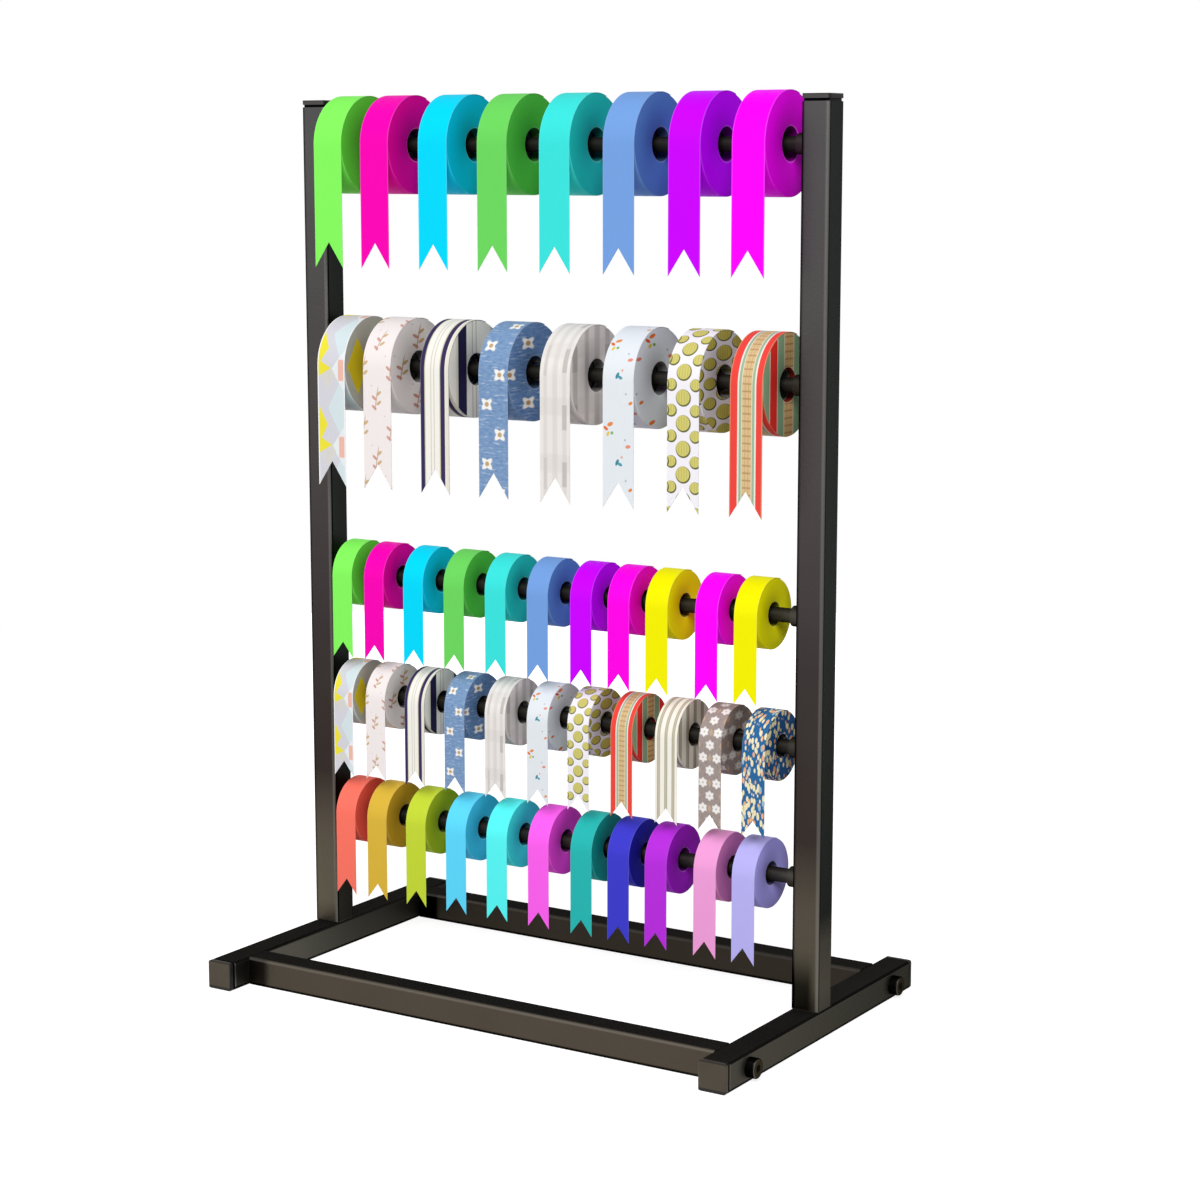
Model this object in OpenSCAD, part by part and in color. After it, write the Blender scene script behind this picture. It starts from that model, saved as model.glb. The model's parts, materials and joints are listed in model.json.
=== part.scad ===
// Counter rack for ribbon: a bolted frame of square tube with five rods, the ribbon rolls
// that turn on them, and the loose end of every ribbon hanging in front of its roll.
// X runs along the rods, the front is toward -Y, and Z = 0 is the counter.

/* [Square tube] */
// Side of the tube
tube = 20; // [18:0.5:24]
// Wall of the tube
wall = 1.5; // [1.2:0.1:2]
// Outer rounding of the tube's long edges
edge_r = 2.4; // [1.8:0.1:3]

/* [Frame] */
// Width over the two runners
rack_w = 412; // [400:1:500]
// Length of a runner over its end plugs
rack_d = 260; // [220:1:340]
// Bare runner between its end and the near side of a cross rail
rail_inset = 20; // [18:1:40]
// Upright tube above the centre of the top rod
head_room = 26; // [20:0.5:50]
// Thickness of the threaded plates welded into rails and uprights
end_plate = 4; // [3:0.5:6]

/* [Tube plugs] */
// Thickness of a plug's flange
plug_flange = 3; // [2:0.1:4]
// Bevel round the flange's outer face
plug_bevel = 0.8; // [0.4:0.1:1.2]
// Height of the recessed neck between flange and tube end
neck_h = 1.8; // [0.6:0.1:2.4]
// Depth of the neck's recess behind the tube's side
neck_in = 1; // [0.4:0.1:1.4]
// Length of the shank inside the tube
shank_l = 10; // [6:0.5:12]
// Wall of the hollow shank
shank_wall = 1.6; // [1.2:0.1:2.4]
// Clearance between shank and tube
shank_gap = 0.2; // [0.1:0.05:0.3]

/* [Bolts] */
// Diameter of a bolt's shank
bolt_d = 6; // [5:0.5:8]
// Length of a bolt's shank
bolt_l = 30; // [28:1:40]
// Diameter of a bolt's head
head_d = 13.2; // [12:0.2:14.6]
// Height of a bolt's head
head_h = 6.3; // [4:0.1:8]
// Rounding of the head's rim
head_round = 1.2; // [0.6:0.1:1.6]
// Width across the flats of the head's hexagon socket
key_w = 5; // [3:0.5:6]
// Depth of the hexagon socket
key_depth = 3; // [1.5:0.1:3.6]
// Clearance round a shank in its holes
bolt_gap = 0.2; // [0.1:0.05:0.4]
// Clearance round a head in the hole under an upright
head_gap = 0.5; // [0.3:0.1:0.8]

/* [Rods] */
// Diameter of a rod
rod_d = 9.5; // [8:0.5:11]
// Chamfer at a rod's ends
rod_chamfer = 0.6; // [0.3:0.1:1]
// Outer diameter of a rod socket
socket_d = 13.6; // [13:0.2:18]
// Length of a socket from the upright's face
socket_l = 5.8; // [5.2:0.2:8]
// Thickness of a socket's closed end
socket_floor = 2; // [1.5:0.1:3]
// Depth of the flared mouth
socket_flare = 2; // [1:0.1:2.5]
// Width of the socket's rim at the mouth
socket_rim = 0.8; // [0.5:0.1:1.2]
// Clearance round a rod in its socket
socket_gap = 0.1; // [0.05:0.05:0.3]
// Diameter of the spigot that holds a socket in the upright's wall
spigot_d = 8; // [6:0.5:9]
// Clearance round the spigot
spigot_gap = 0.1; // [0.05:0.05:0.2]
// Diameter of the spigot's riveted end
rivet_d = 10; // [9.5:0.5:11]
// Height of the riveted end
rivet_h = 1.2; // [0.8:0.1:2]

/* [Rows] */
// Height of the lowest rod above the counter
first_row_z = 105.5; // [90:0.5:130]
// Distance between rods with narrow rolls
narrow_pitch = 86; // [82:0.5:100]
// Distance from the top narrow rod to the lower wide rod
middle_pitch = 148; // [140:0.5:170]
// Distance between rods with wide rolls
wide_pitch = 150.5; // [140:0.5:170]

/* [Wide rolls] */
// Diameter of a wide roll
wide_d = 65.4; // [54:0.2:70]
// Width of the wide ribbon
wide_w = 23.4; // [18:0.2:26]
// Diameter of a wide roll's hole
wide_hole = 21.6; // [18:0.2:26]
// Width of the core ring in a wide roll
wide_core = 8; // [5:0.5:14]
// Tips of a wide tail below the rod's centre
wide_drop = 82.6; // [60:0.2:95]
// Depth of the notch in a wide tail's end
wide_notch = 17.2; // [8:0.2:22]

/* [Narrow rolls] */
// Diameter of a narrow roll
narrow_d = 45.4; // [36:0.2:50]
// Width of the narrow ribbon
narrow_w = 16.8; // [12:0.2:19]
// Diameter of a narrow roll's hole
narrow_hole = 15.4; // [14:0.2:18]
// Width of the core ring in a narrow roll
narrow_core = 6; // [4:0.5:10]
// Tips of a narrow tail below the rod's centre
narrow_drop = 57; // [44:0.2:65]
// Depth of the notch in a narrow tail's end
narrow_notch = 10.8; // [6:0.2:14]

/* [Ribbon] */
// Thickness of a tail
ribbon_t = 0.5; // [0.4:0.1:1]
// Slack between a tail and its roll
ribbon_slack = 0.3; // [0.2:0.05:0.6]
// Angle behind the top of the roll at which a tail leaves it
tail_lead = 20; // [0:5:60]
// Clearance between a core ring and its rod
run_gap = 0.3; // [0.15:0.05:0.5]
// Glue line between a core ring and the ribbon
glue_gap = 0.1; // [0.05:0.05:0.2]

/* [Hidden] */
$fn = 64;
LEFT = -1;
RIGHT = 1;
FRONT = -1;
REAR = 1;
HEX_SIDES = 6;
QUARTER_TURN = 90;
// A cut runs this far past the face it opens
PAST = 1;
// The smallest rounding inside a tube
INNER_ROUND = 0.3;

// Frame sizes that follow from the tube
tube_in = tube - 2 * wall;
rod_span = rack_w - 2 * tube;
upright_x = (rack_w - tube) / 2;
rail_y = rack_d / 2 - rail_inset - tube / 2;
plug_stand = plug_flange + neck_h;
runner_l = rack_d - 2 * plug_stand;

// Heights of the five rods, from the top row down
ROW_Z = [
    first_row_z + 2 * narrow_pitch + middle_pitch + wide_pitch,
    first_row_z + 2 * narrow_pitch + middle_pitch,
    first_row_z + 2 * narrow_pitch,
    first_row_z + narrow_pitch,
    first_row_z
];
ROWS = len(ROW_Z);
upright_top = ROW_Z[0] + head_room;
upright_l = upright_top - tube;

// Bare rod left of, between and right of the rolls of each row. The rolls stand
// where someone has pushed them, and the free rod is shared out in these proportions.
WIDE_GAPS = [3, 16, 25, 24.5, 25.6, 25.5, 25.2, 22.5, 6.3];
MIXED_GAPS = [5.4, 10.7, 17, 17.4, 17.5, 17.4, 17.7, 12.6, 12.4, 20.6, 12, 14.3];
EVEN_GAPS = [5, 12, 18, 18, 18, 18.7, 16.7, 18.3, 18.5, 17.3, 16.2, 8];
ROW_GAPS = [WIDE_GAPS, WIDE_GAPS, MIXED_GAPS, EVEN_GAPS, MIXED_GAPS];

// Ribbon colours, row by row from the left
ROW_COLOURS = [
    ["#85f860", "#fa00b5", "#00dafc", "#6cd65f", "#3ce3dd", "#74a0e0", "#cc00ff", "#ff00ff"],
    ["#b9b6d6", "#e8ded2", "#efe6d0", "#4a78a8", "#e6e8ea", "#cfe6f2", "#eef0d8", "#c23a34"],
    ["#85f860", "#fa00b5", "#00dafc", "#6cd65f", "#3ce3dd", "#74a0e0", "#cc00ff", "#ff00e8",
        "#f5f000", "#ff00ff", "#f5f000"],
    ["#b9b6d6", "#e8ded2", "#efe6d0", "#4a78a8", "#e6e8ea", "#cfe6f2", "#eef0d8", "#c23a34",
        "#e9e2d4", "#a89c8e", "#4a86c0"],
    ["#ff7565", "#d8b440", "#bfd935", "#5cd2fa", "#58f5ec", "#ff5cee", "#2ab8b4", "#4444d8",
        "#c030ee", "#ea98d0", "#b4aeec"]
];
PAINT = "#2e2d2b";
PLASTIC = "#1b1b1b";
BOLT_BLACK = "#262523";

// What a row holds
function is_wide(row) = row <= 2;
function roll_d(row) = is_wide(row) ? wide_d : narrow_d;
function roll_w(row) = is_wide(row) ? wide_w : narrow_w;
function roll_hole(row) = is_wide(row) ? wide_hole : narrow_hole;
function core_w(row) = is_wide(row) ? wide_core : narrow_core;
function tail_drop(row) = is_wide(row) ? wide_drop : narrow_drop;
function tail_notch(row) = is_wide(row) ? wide_notch : narrow_notch;
function row_z(row) = ROW_Z[row - 1];
function roll_count(row) = len(ROW_GAPS[row - 1]) - 1;
function roll_colour(row, place) = ROW_COLOURS[row - 1][place - 1];
function roll_name(row, place) = str("row_", row, "_roll_", place);

// Centre of a roll along its rod, from the bare rod on its left
function total(list, count) = count == 0 ? 0 : list[count - 1] + total(list, count - 1);
function free_rod(row) = rod_span - 2 * socket_l - roll_count(row) * roll_w(row);
function gap_share(row) = free_rod(row) / total(ROW_GAPS[row - 1], roll_count(row) + 1);
function roll_x(row, place) = -rod_span / 2 + socket_l + (place - 0.5) * roll_w(row)
    + gap_share(row) * total(ROW_GAPS[row - 1], place);

// Square with rounded corners
module rounded_square(side, r) {
    square([side, side - 2 * r], center = true);
    square([side - 2 * r, side], center = true);
    for (x = [-1, 1], y = [-1, 1])
        translate([x, y] * (side / 2 - r)) circle(r);
}

// Section of the square tube
module tube_section() {
    difference() {
        rounded_square(tube, edge_r);
        rounded_square(tube_in, max(edge_r - wall, INNER_ROUND));
    }
}

// Threaded plate that closes the end of a tube
module welded_plate() {
    difference() {
        linear_extrude(end_plate) rounded_square(tube - wall, max(edge_r - wall / 2, INNER_ROUND));
        translate([0, 0, -PAST]) cylinder(d = bolt_d + 2 * bolt_gap, h = end_plate + 2 * PAST);
    }
}

// Upright with its plate at the foot and a row of socket holes on the inner side
module upright(side) {
    color(PAINT)
    translate([side * upright_x, 0, tube]) {
        difference() {
            linear_extrude(upright_l) tube_section();
            for (row = [1 : ROWS])
                translate([0, 0, row_z(row) - tube])
                rotate([0, -side * QUARTER_TURN, 0])
                cylinder(d = spigot_d + 2 * spigot_gap, h = tube);
        }
        welded_plate();
    }
}

module left_upright() { upright(LEFT); }
module right_upright() { upright(RIGHT); }

// Runner with cross holes for the rail bolts and a stepped hole for the upright's bolt
module runner(side) {
    color(PAINT)
    translate([side * upright_x, 0, tube / 2])
    difference() {
        rotate([QUARTER_TURN, 0, 0])
        linear_extrude(runner_l, center = true) tube_section();
        for (end = [FRONT, REAR])
            translate([0, end * rail_y, 0])
            rotate([0, QUARTER_TURN, 0])
            cylinder(d = bolt_d + 2 * bolt_gap, h = tube + 2 * PAST, center = true);
        cylinder(d = bolt_d + 2 * bolt_gap, h = tube);
        translate([0, 0, -tube]) cylinder(d = head_d + 2 * head_gap, h = tube);
    }
}

module left_runner() { runner(LEFT); }
module right_runner() { runner(RIGHT); }

// Cross rail with a plate at each end
module rail(end) {
    color(PAINT)
    translate([0, end * rail_y, tube / 2])
    for (side = [LEFT, RIGHT])
        rotate([0, side * QUARTER_TURN, 0]) {
            linear_extrude(rod_span / 2) tube_section();
            translate([0, 0, rod_span / 2 - end_plate]) welded_plate();
        }
}

module front_rail() { rail(FRONT); }
module rear_rail() { rail(REAR); }

// Outer face of a plug, bevelled along all four sides
module plug_head() {
    half = tube / 2;
    bevelled = [
        [-half, 0],
        [half, 0],
        [half, plug_flange - plug_bevel],
        [half - plug_bevel, plug_flange],
        [plug_bevel - half, plug_flange],
        [-half, plug_flange - plug_bevel]
    ];
    intersection() {
        linear_extrude(plug_flange) rounded_square(tube, edge_r);
        for_both_sides(tube) polygon(bevelled);
    }
}

// A profile swept along X and along Y, where both sweeps meet
module for_both_sides(length) {
    intersection() {
        rotate([QUARTER_TURN, 0, 0]) linear_extrude(length, center = true) children();
        rotate([QUARTER_TURN, 0, QUARTER_TURN]) linear_extrude(length, center = true) children();
    }
}

// Plug that stands on the end of a tube at Z = 0 and reaches down into it
module tube_plug() {
    shank = tube_in - 2 * shank_gap;
    translate([0, 0, neck_h]) plug_head();
    linear_extrude(neck_h) rounded_square(tube - 2 * neck_in, edge_r - neck_in);
    translate([0, 0, -shank_l])
    linear_extrude(shank_l)
    difference() {
        rounded_square(shank, INNER_ROUND);
        square(shank - 2 * shank_wall, center = true);
    }
}

module tube_plugs() {
    color(PLASTIC)
    for (side = [LEFT, RIGHT]) {
        translate([side * upright_x, 0, upright_top]) tube_plug();
        for (end = [FRONT, REAR])
            translate([side * upright_x, end * runner_l / 2, tube / 2])
            rotate([-end * QUARTER_TURN, 0, 0]) tube_plug();
    }
}

// Bolt whose head stands on Z = 0 and whose shank reaches down
module frame_bolt() {
    translate([0, 0, -bolt_l]) cylinder(d = bolt_d, h = bolt_l);
    difference() {
        rotate_extrude() {
            square([head_d / 2, head_h - head_round]);
            square([head_d / 2 - head_round, head_h]);
            translate([head_d / 2 - head_round, head_h - head_round]) circle(head_round);
        }
        translate([0, 0, head_h - key_depth])
        cylinder(d = key_w / cos(180 / HEX_SIDES), h = key_depth + PAST, $fn = HEX_SIDES);
    }
}

module frame_bolts() {
    color(BOLT_BLACK)
    for (side = [LEFT, RIGHT]) {
        for (end = [FRONT, REAR])
            translate([side * rack_w / 2, end * rail_y, tube / 2])
            rotate([0, side * QUARTER_TURN, 0]) frame_bolt();
        translate([side * upright_x, 0, tube - wall]) mirror([0, 0, 1]) frame_bolt();
    }
}

// Socket that stands on the upright's wall at Z = 0: a blind bore with a flared mouth,
// and a spigot through the wall with a riveted end behind it
module rod_socket() {
    bore = rod_d / 2 + socket_gap;
    rotate_extrude()
    polygon([
        [0, -wall - rivet_h],
        [rivet_d / 2, -wall - rivet_h],
        [rivet_d / 2, -wall],
        [spigot_d / 2, -wall],
        [spigot_d / 2, 0],
        [socket_d / 2, 0],
        [socket_d / 2, socket_l],
        [socket_d / 2 - socket_rim, socket_l],
        [bore, socket_l - socket_flare],
        [bore, socket_floor],
        [0, socket_floor]
    ]);
}

module rod_sockets() {
    color(PAINT)
    for (row = [1 : ROWS], side = [LEFT, RIGHT])
        translate([side * rod_span / 2, 0, row_z(row)])
        rotate([0, -side * QUARTER_TURN, 0]) rod_socket();
}

// Rod between the floors of its two sockets
module hanging_rod() {
    half = rod_span / 2 - socket_floor;
    rotate([0, QUARTER_TURN, 0])
    rotate_extrude()
    polygon([
        [0, -half],
        [rod_d / 2 - rod_chamfer, -half],
        [rod_d / 2, rod_chamfer - half],
        [rod_d / 2, half - rod_chamfer],
        [rod_d / 2 - rod_chamfer, half],
        [0, half]
    ]);
}

module hanging_rods() {
    color(PAINT)
    for (row = [1 : ROWS])
        translate([0, 0, row_z(row)]) hanging_rod();
}

// Side view of a tail, with Y across and Z up: an arc over the top and a straight drop
module tail_profile(inner_r, drop) {
    outer_r = inner_r + ribbon_t;
    far = 2 * outer_r;
    intersection() {
        difference() {
            circle(outer_r);
            circle(inner_r);
        }
        polygon([[0, 0], far * [sin(tail_lead), cos(tail_lead)], [-far, far], [-far, 0]]);
    }
    translate([-outer_r, -drop]) square([ribbon_t, drop]);
}

// Loose end of a ribbon: over the top of its roll, down the front, and a notched end
module ribbon_tail(row) {
    inner_r = roll_d(row) / 2 + ribbon_slack;
    half = roll_w(row) / 2;
    difference() {
        rotate([QUARTER_TURN, 0, QUARTER_TURN])
        linear_extrude(2 * half, center = true) tail_profile(inner_r, tail_drop(row));
        translate([0, PAST - inner_r, -tail_drop(row)])
        rotate([QUARTER_TURN, 0, 0])
        linear_extrude(ribbon_t + 2 * PAST)
        polygon([[-half, 0], [half, 0], [0, tail_notch(row)]]);
    }
}

module ribbon_tails() {
    for (row = [1 : ROWS], place = [1 : roll_count(row)])
        color(roll_colour(row, place))
        translate([roll_x(row, place), 0, row_z(row)]) ribbon_tail(row);
}

// Ring about the X axis
module ring(outer_d, inner_d, width) {
    rotate([0, QUARTER_TURN, 0])
    difference() {
        cylinder(d = outer_d, h = width, center = true);
        cylinder(d = inner_d, h = width + 2 * PAST, center = true);
    }
}

// Wound ribbon and, in the middle of its hole, the core ring that runs on the rod
module ribbon_roll(row, place) {
    translate([roll_x(row, place), 0, row_z(row)]) {
        color(roll_colour(row, place)) ring(roll_d(row), roll_hole(row), roll_w(row));
        color(PLASTIC) ring(roll_hole(row) - 2 * glue_gap, rod_d + 2 * run_gap, core_w(row));
    }
}

left_upright();
right_upright();
left_runner();
right_runner();
front_rail();
rear_rail();
tube_plugs();
frame_bolts();
rod_sockets();
hanging_rods();
ribbon_tails();
for (row = [1 : ROWS], place = [1 : roll_count(row)])
    ribbon_roll(row, place);
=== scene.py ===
import json
import math

import bmesh
import bpy
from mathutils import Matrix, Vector


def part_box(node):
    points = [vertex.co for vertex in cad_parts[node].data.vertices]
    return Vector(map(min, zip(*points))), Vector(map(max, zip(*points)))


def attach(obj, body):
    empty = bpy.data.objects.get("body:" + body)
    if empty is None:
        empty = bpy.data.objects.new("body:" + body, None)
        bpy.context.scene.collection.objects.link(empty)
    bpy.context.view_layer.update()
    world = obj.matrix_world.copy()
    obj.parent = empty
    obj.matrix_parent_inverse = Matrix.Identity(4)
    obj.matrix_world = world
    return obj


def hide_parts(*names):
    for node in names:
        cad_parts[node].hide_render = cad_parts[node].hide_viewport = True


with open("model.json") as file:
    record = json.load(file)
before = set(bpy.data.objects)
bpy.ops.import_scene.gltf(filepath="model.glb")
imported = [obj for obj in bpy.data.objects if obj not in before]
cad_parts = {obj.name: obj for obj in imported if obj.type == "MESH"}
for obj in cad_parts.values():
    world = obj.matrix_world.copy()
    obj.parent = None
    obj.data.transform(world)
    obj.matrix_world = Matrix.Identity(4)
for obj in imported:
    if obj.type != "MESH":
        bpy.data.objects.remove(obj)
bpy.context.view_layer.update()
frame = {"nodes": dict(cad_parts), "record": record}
nodes = frame["nodes"]

# The frame: two runners, two cross rails and two uprights of square steel tube,
# welded up, bolted together and powder-coated satin black. The coat has a faint
# orange-peel texture and a random mottle. Painted into its colour are studio reflections
# that change with height and side, painted highlights along the uprights' front corners
# and the rails' front edges, and painted shade at the uprights' corners and feet.


def linear(code):
    """An sRGB colour code such as #4a4846 as the linear colour that a shader takes."""
    shares = [int(code[i : i + 2], 16) / 255 for i in (1, 3, 5)]
    return [s / 12.92 if s <= 0.04045 else ((s + 0.055) / 1.055) ** 2.4 for s in shares] + [1.0]


class Socket:
    """A shader socket that takes part in sums like a number, adding the Math nodes that it needs."""

    def __init__(self, tree, link=None):
        self.tree = tree
        self.link = link

    def node(self, kind, settings, sockets, output=0):
        """Adds a node of a kind: its settings first, then the values or links of its sockets."""
        made = self.tree.nodes.new("ShaderNode" + kind)
        for name, value in settings.items():
            if name == "stops":
                stops = made.color_ramp.elements
                while len(stops) < len(value):
                    stops.new(1.0)
                for stop, (place, code) in zip(stops, value):
                    stop.position = place
                    stop.color = linear(code)
            elif name == "blend":
                made.color_ramp.interpolation = value
            else:
                setattr(made, name, value)
        for name, value in sockets.items():
            if isinstance(value, Socket):
                self.tree.links.new(value.link, made.inputs[name])
            else:
                made.inputs[name].default_value = value
        return Socket(self.tree, made.outputs[output])

    def math(self, operation, *values):
        return self.node("Math", {"operation": operation}, dict(enumerate(values)))

    def __add__(self, other):
        return self.math("ADD", self, other)

    __radd__ = __add__

    def __sub__(self, other):
        return self.math("SUBTRACT", self, other)

    def __rsub__(self, other):
        return self.math("SUBTRACT", other, self)

    def __mul__(self, other):
        return self.math("MULTIPLY", self, other)

    __rmul__ = __mul__

    def __truediv__(self, other):
        return self.math("DIVIDE", self, other)

    def __rtruediv__(self, other):
        return self.math("DIVIDE", other, self)

    def __mod__(self, other):
        return self.math("FLOORED_MODULO", self, other)

    def __rmod__(self, other):
        return self.math("FLOORED_MODULO", other, self)

    def __pow__(self, other):
        return self.math("POWER", self, other)

    def __rpow__(self, other):
        return self.math("POWER", other, self)

    def __abs__(self):
        return self.math("ABSOLUTE", self)

    def other(self, output):
        """Another output of the node that this socket belongs to."""
        return Socket(self.tree, self.link.node.outputs[output])

    def above(self, edge, soft):
        """1 where the value is above an edge and 0 below it, with a soft change between."""
        limits = {"Value": self, "From Min": edge - soft, "From Max": edge + soft}
        return self.node("MapRange", {"interpolation_type": "SMOOTHSTEP"}, limits)

    def below(self, edge, soft):
        return 1 - self.above(edge, soft)

    def painted(self, mask, colour):
        """This colour with another laid over it where the mask is 1."""
        return self.node("Mix", {"data_type": "RGBA"}, {0: mask, 6: self, 7: colour}, 2)


class Finish(Socket):
    """A new material, as the socket that its nodes hang on."""

    def __init__(self, name, **constants):
        self.material = bpy.data.materials.new(name)
        self.material.use_nodes = True
        super().__init__(self.material.node_tree)
        self.shader = self.tree.nodes["Principled BSDF"]
        self.set(**constants)

    def set(self, **values):
        """Sets or links the shader's own sockets: Base_Color stands for Base Color, and so on."""
        for name, value in values.items():
            socket = self.shader.inputs[name.replace("_", " ")]
            if isinstance(value, Socket):
                self.tree.links.new(value.link, socket)
            else:
                socket.default_value = value

    def place(self, scale=(1, 1, 1)):
        """Object coordinates, scaled."""
        here = self.node("TexCoord", {}, {}, "Object")
        return self.node("Mapping", {}, {"Vector": here, "Scale": scale})

    def facing(self):
        """How far the surface faces to the right, with its other directions on the same node."""
        return self.node("SeparateXYZ", {}, {"Vector": self.node("TexCoord", {}, {}, "Normal")}, "X")

    def noise(self, vector, scale, detail):
        return self.node("TexNoise", {}, {"Vector": vector, "Scale": scale, "Detail": detail})

    def colours(self, value, stops, blend="LINEAR"):
        return self.node("ValToRGB", {"stops": stops, "blend": blend}, {"Fac": value})

    def bumped(self, height, strength, depth):
        """Feeds a height in shares of a depth to the shader's normal."""
        sockets = {"Height": height, "Strength": strength, "Distance": depth}
        self.set(Normal=self.node("Bump", {}, sockets))


def dress(node_names, finish):
    """Gives CAD nodes a finish in place of their plain one."""
    for name in node_names:
        nodes[name].data.materials.clear()
        nodes[name].data.materials.append(finish.material)


TONE_TOP = 0.6
JOINT_LINE = 0.0004
SHADED_CORNER_STRIP = 0.0022
HIGHLIGHT_CORNER_FROM = 0.0177
FOOT_SHADOW_HEIGHT = 0.048
FOOT_SHADOW_WIDTH = 0.015
SHADED_RAIL_END = 0.016
HIGHLIGHT_RUNNER_END = 0.0014
CONTACT_SHADOW_LINE = 0.0024
DARK_EDGE_TINT = (0.02, 0.02, 0.02, 1)
BLACK = linear("#000000")

left_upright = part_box("left_upright")[0].x
upright_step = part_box("right_upright")[0].x - left_upright
upright_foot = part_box("left_upright")[0].z + JOINT_LINE
runner_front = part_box("left_runner")[0].y
rail_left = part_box("front_rail")[0].x
rail_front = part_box("front_rail")[0].y

paint = Finish("satin_black_paint", Metallic=1.0, Specular_Tint=DARK_EDGE_TINT)
paint_place = paint.place()
peel = paint.noise(paint_place, 420, 2)
clouds = paint.noise(paint_place, 16, 3)
rightward = paint.node("SeparateXYZ", {}, {"Vector": paint_place}, "X")
rearward = rightward.other("Y")
height = rightward.other("Z")
facing_right = paint.facing()
facing_front = 0 - facing_right.other("Y")
facing_up = facing_right.other("Z")
on_left = rightward.below(0, 0.01)
on_upright = height.above(upright_foot, JOINT_LINE)
on_front = facing_front.above(0.5, 0.15)
on_flank = facing_right.above(0.8, 0.1)
on_upper = facing_up.above(0.3, 0.15) * facing_front.below(0.3, 0.2)
from_left = (rightward - left_upright) % upright_step

# Painted reflections and shade: the coat's tone changes with height as studio reflections do, and faces
# turned to the right take a set of tones of their own for the light that falls on them.
face_reflection_tones = [
    (0.03, "#4c453c"),
    (0.06, "#645e50"),
    (0.15, "#5a5248"),
    (0.22, "#3a322e"),
    (0.4, "#3d3837"),
    (0.6, "#4b4746"),
    (1.0, "#515050"),
]
flank_reflection_tones = [
    (0.03, "#5b5952"),
    (0.06, "#656259"),
    (0.11, "#5c5953"),
    (0.14, "#3d3f3c"),
    (0.5, "#494c49"),
    (1.0, "#484b49"),
]
way_up = height / TONE_TOP
coat = paint.colours(way_up, face_reflection_tones).painted(on_flank, paint.colours(way_up, flank_reflection_tones))

# Painted shade: the coat darkens towards the rear, in strips along the uprights' front corners, at the
# right upright's foot, on the inner faces of the left runner and upright, and at the left end of the front
# rail's front face. The clouds add a random mottle.
rearward_shade = rearward.above(0.03, 0.14)
corners = from_left.below(SHADED_CORNER_STRIP, 0.0014) + facing_right.above(0.86, 0.07)
corners = on_upright * corners * facing_front.above(0.12, 0.08)
foot_shadow = height.below(FOOT_SHADOW_HEIGHT, 0.014) * from_left.below(FOOT_SHADOW_WIDTH, 0.003)
foot_shadow = on_upright * (1 - on_left) * on_front * foot_shadow
recess_shade = 0.28 * rearward.above(-0.03, 0.05) + 0.6 * rearward.below(rail_front, 0.003)
recess_shade = on_left * on_flank * (recess_shade + on_upright * (0.14 + 0.16 * height.below(0.1, 0.05)))
rail_end_shadow = on_front * (1 - on_upright) * rightward.below(rail_left + SHADED_RAIL_END, 0.004)
dark = 0.14 * clouds + (0.6 - 0.25 * on_flank) * rearward_shade + 0.6 * corners + 0.6 * foot_shadow + 0.75 * rail_end_shadow + recess_shade
# The mottle and shade above are laid on. As painted shade, faces turned up take a flat dark tone and their
# rounded edges go nearly black.
coat = coat.painted(dark, BLACK).painted(on_upper, linear("#403f3c"))
coat = coat.painted(0.7 * on_upper * facing_up.below(0.93, 0.06), BLACK)

# Painted highlights: a pale strip down each upright's front right corner, along the front top edges of the
# rails, and round the front ends of the runners.
rail_edge_highlight = facing_up.above(0.3, 0.2) * facing_up.below(0.85, 0.1) * facing_front.above(0.4, 0.15)
runner_end_highlight = on_flank * (1 + 1.5 * on_left) * rearward.below(runner_front + HIGHLIGHT_RUNNER_END, 0.0002)
frame_highlights = on_upright * on_front * from_left.above(HIGHLIGHT_CORNER_FROM, 0.0006) + 0.8 * rail_edge_highlight + runner_end_highlight
coat = coat.painted(0.2 * frame_highlights, linear("#8a8783"))
# Painted shade: a black line along the bottom edges, where the rack stands on the floor.
paint.set(Base_Color=coat.painted(0.85 * height.below(CONTACT_SHADOW_LINE, 0.0006), BLACK))
paint.set(Roughness=0.38 + 0.1 * clouds + 0.05 * peel)
paint.bumped(peel, 0.25, 0.0004)
dress(["left_upright", "right_upright", "left_runner", "right_runner", "front_rail", "rear_rail"], paint)

# The tube plugs close the runner ends and the upright tops. They are moulded in
# black polyethylene with a fine spark-eroded grain, and are knocked into the tube
# as far as a thin neck, which leaves a gap under the flange that is painted near black as shade.

FLANGE = 0.003

plug_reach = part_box("tube_plugs")[1]
plug_plastic = Finish("moulded_black_plastic", Specular_IOR_Level=0.2)
plug_place = plug_plastic.place()
grain = plug_plastic.noise(plug_place, 1500, 2)
plug_clouds = plug_plastic.noise(plug_place, 60, 2)
plug_across = plug_plastic.node("SeparateXYZ", {}, {"Vector": plug_place}, "X")
plug_out = plug_across.other("Y")
plug_up = plug_across.other("Z")
plug_facing = plug_plastic.facing()
plug_right = plug_facing.above(0.5, 0.2)
on_top = plug_up.above(0.3, 0.1)
in_light = (1 - on_top) * plug_out.below(0, 0.01) * plug_across.above(0, 0.01)
# Painted shade: the gap under the flange is painted near black.
gap = on_top * plug_up.below(plug_reach.z - FLANGE, 0.0001)
gap = gap + (1 - on_top) * abs(plug_out).below(plug_reach.y - FLANGE, 0.0001)
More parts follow.
